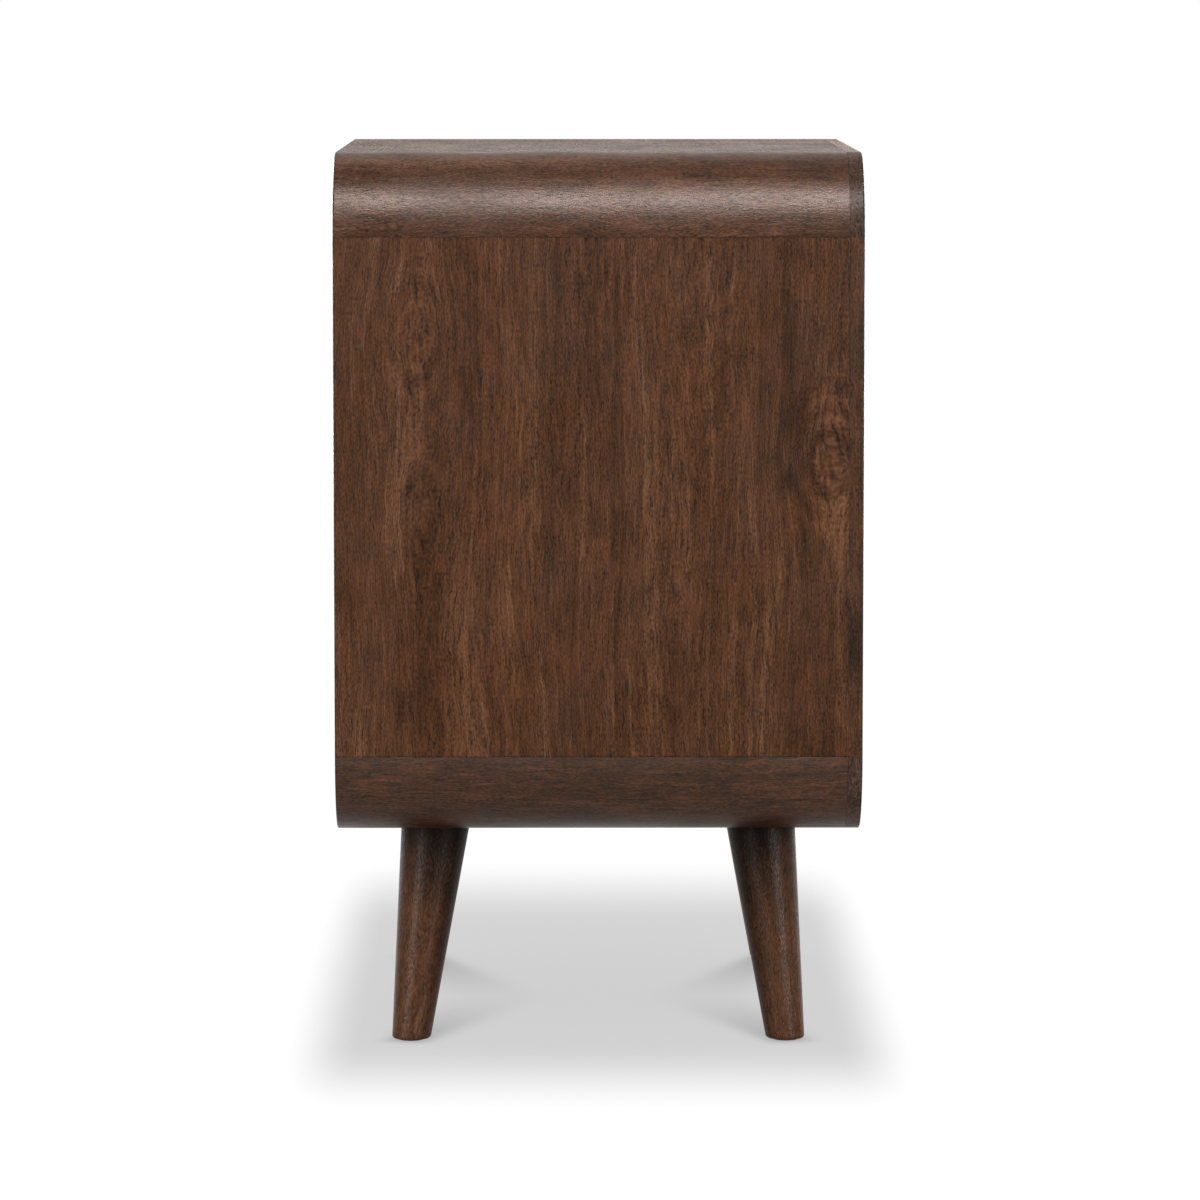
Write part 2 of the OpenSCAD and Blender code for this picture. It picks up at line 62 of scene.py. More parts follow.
# The side panels are glued up from upright walnut boards, stained dark and lacquered satin. A ledge along
# their back edge takes the back panel. Their outer back edge is rounded by hand, the glued ends hardly eased.
EDGE_ROUND = 1.2 * MM
EDGE_STEPS = 6
SEAM_EASE = 0.15 * MM
SEAM_FILL = 0.22 * MM
FACING_FILL = 0.11 * MM
BACK_PLAY = 0.5 * MM
SMOOTH_ANGLE = math.radians(35)
side_low, side_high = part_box("side_panel_left")
shoulder_low, shoulder_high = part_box("shoulder_top_left")
back_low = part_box("back_panel")[0]
wall = side_high.x - side_low.x
ledge = wall - (back_low.x - side_low.x) + BACK_PLAY
shell_front = shoulder_low.y - FACING_FILL


def round_corners(bm, corners, radius, steps):
    """Rounds corners of a flat outline. corners says which vertices to take."""
    chosen = [v for v in bm.verts if corners(v)]
    bmesh.ops.bevel(bm, geom=chosen, offset=radius, segments=steps, profile=0.5, affect="VERTICES",
                    material=-1, clamp_overlap=True)


def ease_edges(bm, ease, chosen=lambda edge: True, steps=2, sharper_than=50):
    """Rounds the chosen edges where two faces meet at a corner."""
    limit = math.radians(sharper_than)
    corners = [e for e in bm.edges if len(e.link_faces) == 2 and e.calc_face_angle() > limit and chosen(e)]
    bmesh.ops.bevel(bm, geom=corners, offset=ease, segments=steps, profile=0.5, affect="EDGES",
                    material=-1, clamp_overlap=True)


def near(value, target, slack=1e-5):
    return abs(value - target) < slack


def outline_face(bm, points):
    """A flat face through the points, in order."""
    return bm.faces.new([bm.verts.new(p) for p in points])


def pull_face(bm, face, travel):
    """Extrudes one flat face into a solid."""
    grown = bmesh.ops.extrude_face_region(bm, geom=[face])["geom"]
    verts = [g for g in grown if isinstance(g, bmesh.types.BMVert)]
    bmesh.ops.translate(bm, vec=travel, verts=verts)
    bmesh.ops.recalc_face_normals(bm, faces=bm.faces)


def board_section(bm, corner, inward, front_y, back_y):
    """Cross-section of a case board: outer face at corner, wall inward, and a ledge for the back panel."""
    depths = ((0, front_y), (wall, front_y), (wall, back_low.y), (wall - ledge, back_low.y),
              (wall - ledge, back_y), (0, back_y))
    outline_face(bm, [corner + inward * depth + Vector((0, y, 0)) for depth, y in depths])
    outer_back = corner + Vector((0, back_y, 0))
    round_corners(bm, lambda v: (v.co - outer_back).length < 1e-6, EDGE_ROUND, EDGE_STEPS)
    return bm.faces[:][0]


def finish_piece(name, bm, body, material, node):
    """Makes a bmesh the piece that stands for one CAD node."""
    bmesh.ops.remove_doubles(bm, verts=bm.verts, dist=1e-7)
    bmesh.ops.recalc_face_normals(bm, faces=bm.faces)
    mesh = bpy.data.meshes.new(name)
    bm.to_mesh(mesh)
    bm.free()
    mesh.shade_smooth()
    mesh.set_sharp_from_angle(angle=SMOOTH_ANGLE)
    mesh.materials.append(material)
    piece = bpy.data.objects.new(name, mesh)
    bpy.context.scene.collection.objects.link(piece)
    piece.modifiers.new("even_shading", "WEIGHTED_NORMAL").keep_sharp = True
    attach(piece, body)
    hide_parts(node)
    return piece


def maths(tree, operation, first, second=None, third=None):
    """An arithmetic node. Each value is a number or another node's output."""
    node = tree.nodes.new("ShaderNodeMath")
    node.operation = operation
    for socket, value in zip(node.inputs, (first, second, third)):
        if isinstance(value, (int, float)):
            socket.default_value = value
        elif value is not None:
            tree.links.new(value, socket)
    return node.outputs[0]


def add_up(tree, start, *parts):
    """The start value plus each part, which is a signal and its weight."""
    for signal, weight in parts:
        start = maths(tree, "MULTIPLY_ADD", signal, weight, start)
    return start


def distance_to(tree, signal, place):
    return maths(tree, "ABSOLUTE", maths(tree, "SUBTRACT", signal, place))


def noise(tree, vector, detail=1.0, roughness=0.5):
    """Noise about zero, from roughly -1 to 1."""
    node = tree.nodes.new("ShaderNodeTexNoise")
    node.inputs["Scale"].default_value = 1.0
    node.inputs["Detail"].default_value = detail
    node.inputs["Roughness"].default_value = roughness
    tree.links.new(vector, node.inputs["Vector"])
    return maths(tree, "MULTIPLY_ADD", node.outputs["Fac"], 4.0, -2.0)


def ramp(tree, value, low, high, to_low=0.0, to_high=1.0):
    """Turns low..high into to_low..to_high with a soft start and end."""
    node = tree.nodes.new("ShaderNodeMapRange")
    node.interpolation_type = "SMOOTHSTEP"
    for name, number in (("From Min", low), ("From Max", high), ("To Min", to_low), ("To Max", to_high)):
        node.inputs[name].default_value = number
    tree.links.new(value, node.inputs["Value"])
    return node.outputs["Result"]


def blend_colour(tree, amount, first, second):
    """A colour from first to second. Each is a tuple or another node's output."""
    node = tree.nodes.new("ShaderNodeMix")
    node.data_type = "RGBA"
    tree.links.new(amount, node.inputs[0])
    for socket, value in ((node.inputs[6], first), (node.inputs[7], second)):
        if isinstance(value, tuple):
            socket.default_value = (*value, 1.0)
        else:
            tree.links.new(value, socket)
    return node.outputs[2]


def streaks(tree, across, through, along, width, length):
    """Coordinates for streaks of that width and length along the grain, in metres."""
    node = tree.nodes.new("ShaderNodeCombineXYZ")
    for socket, value, size in zip(node.inputs, (across, through, along), (width, width, length)):
        tree.links.new(maths(tree, "MULTIPLY", value, 1.0 / size), socket)
    return node.outputs[0]


def new_material(name):
    """A material with its node tree and its shader."""
    material = bpy.data.materials.new(name)
    material.use_nodes = True
    tree = material.node_tree
    return material, tree, tree.nodes["Principled BSDF"]


def tint(tree, shader, colour, level, saturation=1.0):
    """Colours the shader, lighter or darker as the level signal says."""
    value = tree.nodes.new("ShaderNodeHueSaturation")
    value.inputs["Saturation"].default_value = saturation
    if isinstance(colour, tuple):
        value.inputs["Color"].default_value = (*colour, 1.0)
    else:
        tree.links.new(colour, value.inputs["Color"])
    tree.links.new(level, value.inputs["Value"])
    tree.links.new(value.outputs[0], shader.inputs["Base Color"])


def emboss(tree, shader, height, strength, depth):
    """Raises and sinks the surface as the height signal says."""
    bump = tree.nodes.new("ShaderNodeBump")
    bump.inputs["Strength"].default_value = strength
    bump.inputs["Distance"].default_value = depth
    tree.links.new(height, bump.inputs["Height"])
    tree.links.new(bump.outputs[0], shader.inputs["Normal"])


def place_axes(tree):
    """Object coordinates, one output for each axis."""
    split = tree.nodes.new("ShaderNodeSeparateXYZ")
    tree.links.new(tree.nodes.new("ShaderNodeTexCoord").outputs["Object"], split.inputs[0])
    return split.outputs


def grain_axes(tree, grain):
    """Coordinates across, through and along the grain. grain names the axis along it, then the one across."""
    axes = place_axes(tree)
    along, across = ["XYZ".index(letter) for letter in grain]
    return axes[across], axes[3 - along - across], axes[along]


WALNUT_DARK = (0.0520, 0.0180, 0.0040)
WALNUT_BROWN = (0.0850, 0.0310, 0.0108)
WALNUT_ORANGE = (0.1410, 0.0600, 0.0262)
WALNUT_RED = (0.0930, 0.0300, 0.0130)
WALNUT_PORE = (0.0190, 0.0065, 0.0020)
# Streaks in walnut: width across the grain and length along it, in metres.
WANDER = (0.09, 0.26)
WAVER = (0.012, 0.016)
BROAD = (0.028, 0.30)
BAND = (0.0065, 0.240)
RIBBON = (0.0030, 0.130)
FIBRE = (0.0018, 0.045)
STRAND = (0.0008, 0.014)
GRIT = (0.0010, 0.0026)
MOTTLE = (0.018, 0.034)
POLISH = (0.05, 0.06)
WANDER_REACH = 8 * MM
BOARD_SHIFT = 1.37
BOARD_LINE = 0.7 * MM
BOARD_LINE_SHADE = -0.25
END_LINE = (0.2 * MM, 0.9 * MM)
END_LINE_SHADE = -0.38
# A band of painted shade along the case's long edges: how far in it reaches, and how much it darkens.
PAINTED_EDGE_SHADE_BAND = (0.4 * MM, 1.8 * MM)
PAINTED_EDGE_SHADE_DEPTH = -0.60
DARKEST = 0.10
RING_COUNT = 4.5
RING_STRETCH = 0.4
SATIN = 0.38
LACQUER_IOR = 1.45
case_r = shoulder_high.z - shoulder_low.z
case_middle_z = (side_low.z + side_high.z) / 2


def figure(across, along, half_width, half_length, swell=0.0, rings=0.0, dark=0.0):
    """A spot in the wood, or a patch of painted shade: swell is how far the grain bends round it, rings how
    strong its own rings are.
    """
    return across, along, half_width, half_length, swell, rings, dark


def add_figures(tree, across, along, figures, seed):
    """Grain that flows round the figures, and how much lighter or darker they make it."""
    flow = across
    patches = None
    for at_across, at_along, half_width, half_length, swell, rings, dark in figures:
        off_across = maths(tree, "SUBTRACT", across, at_across)
        u = maths(tree, "MULTIPLY", off_across, 1.0 / half_width)
        v = maths(tree, "MULTIPLY", maths(tree, "SUBTRACT", along, at_along), 1.0 / half_length)
        spread = maths(tree, "MULTIPLY_ADD", v, v, maths(tree, "MULTIPLY", u, u))
        hill = maths(tree, "EXPONENT", maths(tree, "MULTIPLY", spread, -1.0))
        if swell:
            flow = add_up(tree, flow, (maths(tree, "MULTIPLY", off_across, hill), -swell))
        shade = maths(tree, "MULTIPLY", hill, -dark)
        if rings:
            ring_place = tree.nodes.new("ShaderNodeCombineXYZ")
            from_middle = maths(tree, "MULTIPLY", maths(tree, "SQRT", spread), RING_COUNT)
            tree.links.new(from_middle, ring_place.inputs[0])
            ring_place.inputs[1].default_value = seed + at_across * 100
            tree.links.new(maths(tree, "MULTIPLY", v, RING_STRETCH), ring_place.inputs[2])
            ring = noise(tree, ring_place.outputs[0])
            shade = add_up(tree, shade, (maths(tree, "MULTIPLY", ring, hill), rings))
        patches = shade if patches is None else maths(tree, "ADD", patches, shade)
    return flow, patches


def from_case_edge(tree):
    """How far a place on the case lies from the nearest of its long outer edges, front or back."""
    x, y, z = place_axes(tree)
    z = maths(tree, "SUBTRACT", z, case_middle_z)
    squares = []
    for place, reach in ((x, abs(side_low.x) - case_r), (z, side_high.z - case_middle_z)):
        past = maths(tree, "MAXIMUM", maths(tree, "SUBTRACT", maths(tree, "ABSOLUTE", place), reach), 0.0)
        squares.append(maths(tree, "MULTIPLY", past, past))
    depth = maths(tree, "SUBTRACT", case_r, maths(tree, "SQRT", maths(tree, "ADD", *squares)))
    return maths(tree, "MAXIMUM", depth, maths(tree, "SUBTRACT", side_high.y, maths(tree, "ABSOLUTE", y)))


def walnut(name, grain, seed, boards=(), ends=(), figures=(), tone=0.99, cool=0.0, faded=0.0, gloss=0.0,
           shine=0.105, dull=0.0, curl=1.2 * MM, run=0.8, relief=0.14 * MM, lean=None, painted_edge_shade=False):
    """Stained walnut. boards are (place, tone step) across the grain, ends its glue lines along it.

    tone is how light the stain is, cool darkens it and faded greys it. gloss smooths the lacquer, shine is
    how much it mirrors, and dull how far dark figures take that away. curl is how far short waves push the
    grain sideways, run how long its lines are, and relief how deep its pores. lean is how far the grain
    slants across and through, as on a leg. The last flag paints shade along the case's long edges.
    """
    material, tree, shader = new_material(name)
    across, through, along = grain_axes(tree, grain)
    if lean:
        across = maths(tree, "MULTIPLY_ADD", along, lean[0], across)
        through = maths(tree, "MULTIPLY_ADD", along, lean[1], through)
    flow, patches = add_figures(tree, across, along, figures, seed)
    wander = noise(tree, streaks(tree, across, through, along, *WANDER))
    waver = noise(tree, streaks(tree, across, through, along, *WAVER), 2.0)
    flow = add_up(tree, maths(tree, "ADD", flow, seed), (wander, WANDER_REACH), (waver, curl))
    board_tone = None
    for where, step in boards:
        past = maths(tree, "GREATER_THAN", across, where)
        flow = add_up(tree, flow, (past, BOARD_SHIFT + where))
        line = ramp(tree, distance_to(tree, across, where), 0.0, BOARD_LINE, BOARD_LINE_SHADE, 0.0)
        lift = maths(tree, "ADD", maths(tree, "MULTIPLY", past, step), line)
        board_tone = lift if board_tone is None else maths(tree, "ADD", board_tone, lift)

    def grain_noise(size, detail=1.0, roughness=0.5, stretch=1.0):
        return noise(tree, streaks(tree, flow, through, along, size[0], size[1] * stretch), detail, roughness)

    broad = grain_noise(BROAD)
    band = grain_noise(BAND)
    ribbon = grain_noise(RIBBON)
    fibre = grain_noise(FIBRE, detail=2.0, roughness=0.6, stretch=run)
    strand = grain_noise(STRAND, stretch=run)
    grit = grain_noise(GRIT, detail=0.0)
    mottle = grain_noise(MOTTLE, detail=3.0, roughness=0.75)

    hue = add_up(tree, 0.0, (broad, 0.66), (band, 0.50), (ribbon, 0.38), (mottle, 0.32), (fibre, 0.25))
    hue = maths(tree, "SUBTRACT", hue, cool)
    if patches is not None:
        hue = maths(tree, "ADD", hue, patches)
    pores = ramp(tree, strand, 0.25, 1.15, 0.0, 0.60)
    colour = blend_colour(tree, ramp(tree, hue, -1.05, 0.05), WALNUT_DARK, WALNUT_BROWN)
    colour = blend_colour(tree, ramp(tree, hue, -0.05, 1.05), colour, WALNUT_ORANGE)
    colour = blend_colour(tree, ramp(tree, mottle, -0.2, 1.0, 0.0, 0.6), colour, WALNUT_RED)
    colour = blend_colour(tree, pores, colour, WALNUT_PORE)

    strand_shade = -0.46 * min(1.0, 0.4 + run)
    level = add_up(tree, tone, (strand, strand_shade), (fibre, 0.24), (grit, 0.42), (mottle, 0.20))
    if patches is not None:
        level = add_up(tree, level, (patches, 0.34))
    if board_tone is not None:
        level = maths(tree, "ADD", level, board_tone)
    for where in ends:
        line = ramp(tree, distance_to(tree, along, where), *END_LINE, END_LINE_SHADE, 0.0)
        level = maths(tree, "ADD", level, line)
    # Painted shade: the case's long rounded edges are painted darker.
    if painted_edge_shade:
        line = ramp(tree, from_case_edge(tree), *PAINTED_EDGE_SHADE_BAND, PAINTED_EDGE_SHADE_DEPTH, 0.0)
        level = maths(tree, "ADD", level, line)
    tint(tree, shader, colour, maths(tree, "MAXIMUM", level, DARKEST), saturation=1.0 - faded)

    polish = noise(tree, streaks(tree, across, through, along, *POLISH))
    tree.links.new(add_up(tree, SATIN - gloss, (polish, 0.08), (strand, 0.05)), shader.inputs["Roughness"])
    shader.inputs["IOR"].default_value = LACQUER_IOR
    shader.inputs["Specular IOR Level"].default_value = shine
    if dull:
        kept_shine = maths(tree, "MAXIMUM", add_up(tree, 1.0, (patches, dull)), 0.0)
        tree.links.new(maths(tree, "MULTIPLY", kept_shine, shine), shader.inputs["Specular IOR Level"])
    height = add_up(tree, maths(tree, "MULTIPLY", grit, 0.35), (pores, -1.0), (fibre, 0.40))
    emboss(tree, shader, height, 0.7, relief)
    return material


left_figures = (
    figure(0.1310, 0.5212, 0.030, 0.060, swell=0.60, rings=0.45, dark=0.10),
    figure(0.1270, 0.3900, 0.024, 0.065, swell=0.45, rings=0.35),
    figure(-0.1660, 0.4300, 0.030, 0.046, swell=0.80, rings=1.00, dark=0.20),
    figure(-0.1360, 0.4180, 0.003, 0.010, dark=1.60),
    figure(-0.1420, 0.4800, 0.009, 0.065, swell=-0.30, dark=0.60),
    figure(-0.1790, 0.5250, 0.011, 0.075, swell=0.20, dark=0.45),
    figure(-0.1700, 0.3950, 0.014, 0.034, dark=-0.75),
    figure(-0.1840, 0.2980, 0.010, 0.032, dark=0.80),
    figure(0.0200, 0.5000, 0.020, 0.095, swell=0.20, rings=0.40, dark=0.40),
    figure(0.1270, 0.2850, 0.015, 0.080, dark=0.30),
    figure(0.0640, 0.3500, 0.010, 0.100, dark=-0.55),
)
right_figures = (
    figure(0.0750, 0.3300, 0.022, 0.055, swell=0.60, rings=0.80, dark=0.10),
    figure(-0.1200, 0.5000, 0.018, 0.070, swell=0.30, dark=0.60),
)
left_boards = ((-0.0113, 0.00), (0.0466, 0.05))
right_boards = ((-0.072, 0.04), (0.031, -0.05), (0.118, 0.04))
side_ends = (side_low.z, side_high.z)
side_walnut = {
    "left": walnut("walnut_side_left", "ZY", 0.0, left_boards, side_ends, left_figures, painted_edge_shade=True),
    "right": walnut("walnut_side_right", "ZY", 5.3, right_boards, side_ends, right_figures, painted_edge_shade=True),
}
for side, outward in (("left", -1), ("right", 1)):
    side_bm = bmesh.new()
    corner = Vector((outward * abs(side_low.x), 0, side_low.z - SEAM_FILL))
    section = board_section(side_bm, corner, Vector((-outward, 0, 0)), shell_front, side_high.y)
    pull_face(side_bm, section, Vector((0, 0, side_high.z - side_low.z + 2 * SEAM_FILL)))
    ease_edges(side_bm, SEAM_EASE)
    finish_piece("side_panel_" + side + "_boards", side_bm, "case", side_walnut[side],
                 "side_panel_" + side)

# The shoulders are quarter-round rails of solid walnut, one at each long corner. Their grain runs front to
# back, and the panels are dowelled and glued to their straight ends.
ARC_STEPS = 48
CORNERS = {"top_left": (-1, 1), "top_right": (1, 1), "bottom_left": (-1, -1), "bottom_right": (1, -1)}
# The stain at the top, 1, and at the bottom, -1.
SHOULDER_STAIN = {
    1: {"tone": 0.86, "cool": 0.05, "shine": 0.14, "curl": 2.4 * MM, "run": 0.45},
    -1: {"tone": 0.88, "cool": 0.75, "shine": 0.31, "curl": 1.3 * MM, "run": 0.9},
}


def sweep_corner(bm, face, sx, sz, centre):
    """Spins a section that lies level at the case's side round to the case's top or bottom."""
    geometry = [face, *face.edges, *face.verts]
    bmesh.ops.spin(bm, geom=geometry, cent=centre, axis=(0, -sx * sz, 0), dvec=(0, 0, 0),
                   angle=math.radians(90), steps=ARC_STEPS, use_duplicate=False)
    bmesh.ops.recalc_face_normals(bm, faces=bm.faces)


def corner_centre(node, sx, sz):
    """The point that a rounded corner of the case is drawn round."""
    low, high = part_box(node)
    return Vector((high.x if sx < 0 else low.x, 0, low.z if sz > 0 else high.z))


for number, (corner_name, (sx, sz)) in enumerate(CORNERS.items()):
    centre = corner_centre("shoulder_" + corner_name, sx, sz)
    shoulder_bm = bmesh.new()
    section = board_section(shoulder_bm, centre + Vector((sx * case_r, 0, 0)), Vector((-sx, 0, 0)),
                            shell_front, shoulder_high.y)
    sweep_corner(shoulder_bm, section, sx, sz, centre)
    ease_edges(shoulder_bm, SEAM_EASE)
    shoulder_walnut = walnut("walnut_shoulder_" + corner_name, "YZ", 1.9 + 2.1 * number, gloss=0.02,
                             relief=0.09 * MM, painted_edge_shade=True, **SHOULDER_STAIN[sz])
    finish_piece("shoulder_" + corner_name + "_rail", shoulder_bm, "case", shoulder_walnut,
                 "shoulder_" + corner_name)

# The top panel lies between the shoulders and is glued from boards that run from side to side. The bottom
# panel under the case is the same, with round recesses inside for the nuts that hold the legs.
top_low, top_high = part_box("top_panel")
top_bm = bmesh.new()
corner = Vector((top_low.x - SEAM_FILL, 0, top_high.z))
section = board_section(top_bm, corner, Vector((0, 0, -1)), shell_front, top_high.y)
pull_face(top_bm, section, Vector((top_high.x - top_low.x + 2 * SEAM_FILL, 0, 0)))
ease_edges(top_bm, SEAM_EASE)
top_boards = ((-0.0900, 0.04), (0.0100, -0.05), (0.0950, 0.05))
top_walnut = walnut("walnut_top", "XY", 11.0, top_boards, tone=0.66, cool=0.5, gloss=-0.30, shine=0.036,
                    painted_edge_shade=True)
finish_piece("top_panel_boards", top_bm, "case", top_walnut, "top_panel")


def dress_node(node, material):
    """Gives a CAD solid that keeps its shape its finish."""
    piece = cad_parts[node]
    piece.data.materials.clear()
    piece.data.materials.append(material)


bottom_boards = ((-0.0600, 0.05), (0.0700, -0.04))
dress_node("bottom_panel", walnut("walnut_bottom", "XY", 12.7, bottom_boards))

# The back panel is a thin board veneered with walnut, its grain upright. It closes the case from behind
# and is screwed to the ledge all round.
dress_node("back_panel", walnut("walnut_back_veneer", "ZX", 41.0, tone=0.93, gloss=-0.12))

# The facing covers the front edges of the case. It is cut in eight lengths, glued on with butt joints in
# line with the shoulders' own, and its front edges are rounded.
FACING_EASE = 0.1 * MM
facing_low, facing_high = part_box("facing_stile_left")
dark_spot = figure(-0.1850, 0.2980, 0.010, 0.032, dark=0.90)
facing_upright = walnut("walnut_facing_upright", "ZY", 21.0, figures=(dark_spot,), tone=0.92, cool=0.1,
                        shine=0.14, painted_edge_shade=True)
facing_level = walnut("walnut_facing_level", "XZ", 23.0, tone=0.88, cool=0.3, gloss=-0.25, shine=0.04,
                      painted_edge_shade=True)
facing_bend = {
    1: walnut("walnut_facing_bend_top", "ZY", 25.0, tone=1.10, cool=0.9, faded=0.30, shine=0.060,
              painted_edge_shade=True),
    -1: walnut("walnut_facing_bend_bottom", "ZY", 27.0, tone=1.20, cool=0.9, faded=0.34, shine=0.09,
               painted_edge_shade=True),
}


def facing_section(bm, corner, inward):
    """Cross-section of the facing, with its two front edges rounded."""
    back_y = facing_high.y + FACING_FILL
    depths = ((0, facing_low.y), (wall, facing_low.y), (wall, back_y), (0, back_y))
    outline_face(bm, [corner + inward * depth + Vector((0, y, 0)) for depth, y in depths])
    round_corners(bm, lambda v: near(v.co.y, facing_low.y), EDGE_ROUND, EDGE_STEPS)
    return bm.faces[:][0]


for side, outward in (("left", -1), ("right", 1)):
    stile_bm = bmesh.new()
    corner = Vector((outward * abs(facing_low.x), 0, facing_low.z - SEAM_FILL))
    section = facing_section(stile_bm, corner, Vector((-outward, 0, 0)))
    pull_face(stile_bm, section, Vector((0, 0, facing_high.z - facing_low.z + 2 * SEAM_FILL)))
    ease_edges(stile_bm, FACING_EASE)
    finish_piece("facing_stile_" + side + "_strip", stile_bm, "case", facing_upright,
                 "facing_stile_" + side)
for level, upward in (("top", 1), ("bottom", -1)):
    rail_low, rail_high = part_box("facing_rail_" + level)
    rail_bm = bmesh.new()
    corner = Vector((rail_low.x - SEAM_FILL, 0, rail_high.z if upward > 0 else rail_low.z))
    section = facing_section(rail_bm, corner, Vector((0, 0, -upward)))
    pull_face(rail_bm, section, Vector((rail_high.x - rail_low.x + 2 * SEAM_FILL, 0, 0)))
    ease_edges(rail_bm, FACING_EASE)
    finish_piece("facing_rail_" + level + "_strip", rail_bm, "case", facing_level,
                 "facing_rail_" + level)
for corner_name, (sx, sz) in CORNERS.items():
    centre = corner_centre("facing_corner_" + corner_name, sx, sz)
    bend_bm = bmesh.new()
    section = facing_section(bend_bm, centre + Vector((sx * case_r, 0, 0)), Vector((-sx, 0, 0)))
    sweep_corner(bend_bm, section, sx, sz, centre)
    ease_edges(bend_bm, FACING_EASE)
    finish_piece("facing_corner_" + corner_name + "_bend", bend_bm, "case", facing_bend[sz],
                 "facing_corner_" + corner_name)

# A level rail between the two drawers ties the sides together. It is solid walnut, dowelled at its ends,
# with its two front edges rounded.
DIVIDER_EASE = 0.4 * MM
divider_low, divider_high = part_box("divider_rail")
divider_bm = bmesh.new()
bmesh.ops.create_cube(divider_bm, size=1.0)
bmesh.ops.scale(divider_bm, vec=divider_high - divider_low, verts=divider_bm.verts)
bmesh.ops.translate(divider_bm, vec=(divider_high + divider_low) / 2, verts=divider_bm.verts)
ease_edges(divider_bm, EDGE_ROUND, lambda e: all(near(v.co.y, divider_low.y) for v in e.verts), steps=5)
ease_edges(divider_bm, DIVIDER_EASE)
finish_piece("divider_rail_board", divider_bm, "case", facing_level, "divider_rail")

# The four legs are turned from walnut, straight tapered, and splayed alike sideways and front to back. The
# tops are sawn level to seat on the case, the undersides level with the floor, and the foot's edge rounded.
LEG_TURNS = 96
LEG_SPLAY = math.radians(6.5)
LEG_TOP_D = 50 * MM
LEG_FOOT_D = 28 * MM
LEG_SPARE = 28 * MM
FOOT_ROUND = 2.2 * MM
GLIDE_R = 9 * MM
leg_low, leg_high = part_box("leg_front_right")
glide_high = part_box("foot_glides")[1]
foot_x = glide_high.x - GLIDE_R
foot_y = glide_high.y - GLIDE_R
slant = math.tan(LEG_SPLAY)


def turned_leg(foot_mid, seat_mid):
    """A tapered bar along the leg's axis, sawn level at both ends."""
    axis = seat_mid - foot_mid
    taper = (LEG_TOP_D - LEG_FOOT_D) / axis.length
    bm = bmesh.new()
    bmesh.ops.create_cone(bm, segments=LEG_TURNS, radius1=(LEG_FOOT_D - taper * LEG_SPARE) / 2,
                          radius2=(LEG_TOP_D + taper * LEG_SPARE) / 2, depth=axis.length + 2 * LEG_SPARE)
    upright = axis.to_track_quat("Z", "Y").to_matrix().to_4x4()
    place = Matrix.Translation((foot_mid + seat_mid) / 2) @ upright
    bmesh.ops.transform(bm, matrix=place, verts=bm.verts)
    for z, up in ((leg_high.z, 1), (leg_low.z, -1)):
        cut = bmesh.ops.bisect_plane(bm, geom=bm.verts[:] + bm.edges[:] + bm.faces[:], plane_co=(0, 0, z),
                                     plane_no=(0, 0, up), clear_outer=True)
        rim = [g for g in cut["geom_cut"] if isinstance(g, bmesh.types.BMEdge)]
        bmesh.ops.contextual_create(bm, geom=rim)
    ease_edges(bm, FOOT_ROUND, lambda e: all(near(v.co.z, leg_low.z) for v in e.verts), steps=5)
    return bm


for side, sx in (("left", -1), ("right", 1)):
    for end, sy in (("front", -1), ("back", 1)):
        foot_mid = Vector((sx * foot_x, sy * foot_y, 0))
        reach = leg_high.z * slant
        seat_mid = foot_mid + Vector((-sx * reach, -sy * reach, leg_high.z))
        leg_name = "leg_" + end + "_" + side
        # Painted shade: each leg's stain is darkened at its top under the case, down its inner side and in a
        # thin line along its outer side, and it loses some shine there too.
        painted_leg_shade = (
            figure(foot_mid.y - 0.0200 * sy, 0.120, 0.011, 0.100, dark=2.2),
            figure(foot_mid.y, 0.164, 0.040, 0.022, dark=1.5),
            figure(foot_mid.y, 0.150, 0.015, 0.036, dark=2.6),
            figure(foot_mid.y + 0.0240 * sy, 0.110, 0.005, 0.120, dark=1.8),
        )
        leg_walnut = walnut("walnut_" + leg_name, "ZY", 31.0 + 3 * sx + sy, figures=painted_leg_shade, tone=1.16,
                            cool=0.3, shine=0.14, dull=0.16, curl=2.0 * MM, run=0.5,
                            lean=(sy * slant, sx * slant))
        finish_piece(leg_name + "_turned", turned_leg(foot_mid, seat_mid), "case", leg_walnut,
                     leg_name)

# Zinc-plated bolts and flanged nuts hold the legs, and screws hold the runners, drawer fronts and back.
# Plating leaves them grey with a faint cloudy bloom.
def metal(name, colour, roughness, cloud, scratch=0.0):
    """Plated or rolled steel with cloudy tone and fine lines left by rolling it front to back."""
    material, tree, shader = new_material(name)
    across, through, along = grain_axes(tree, "YX")
    bloom = noise(tree, streaks(tree, across, through, along, 0.012, 0.012), 2.0)
    lines = noise(tree, streaks(tree, across, through, along, 0.0006, 0.05))
    tint(tree, shader, colour, add_up(tree, 1.0, (bloom, cloud), (lines, scratch)))
    tree.links.new(add_up(tree, roughness, (bloom, 0.06), (lines, scratch * 0.5)), shader.inputs["Roughness"])
    shader.inputs["Metallic"].default_value = 1.0
    emboss(tree, shader, maths(tree, "ADD", lines, bloom), 0.2, 0.02 * MM)
    return material


zinc = metal("zinc_plated", (0.40, 0.40, 0.385), roughness=0.36, cloud=0.08)
for node in ("leg_bolts", "leg_nuts", "back_panel_screws", "runner_case_screws",
             "runner_drawer_screws_upper", "runner_drawer_screws_lower", "front_screws_upper",
             "front_screws_lower"):
    dress_node(node, zinc)

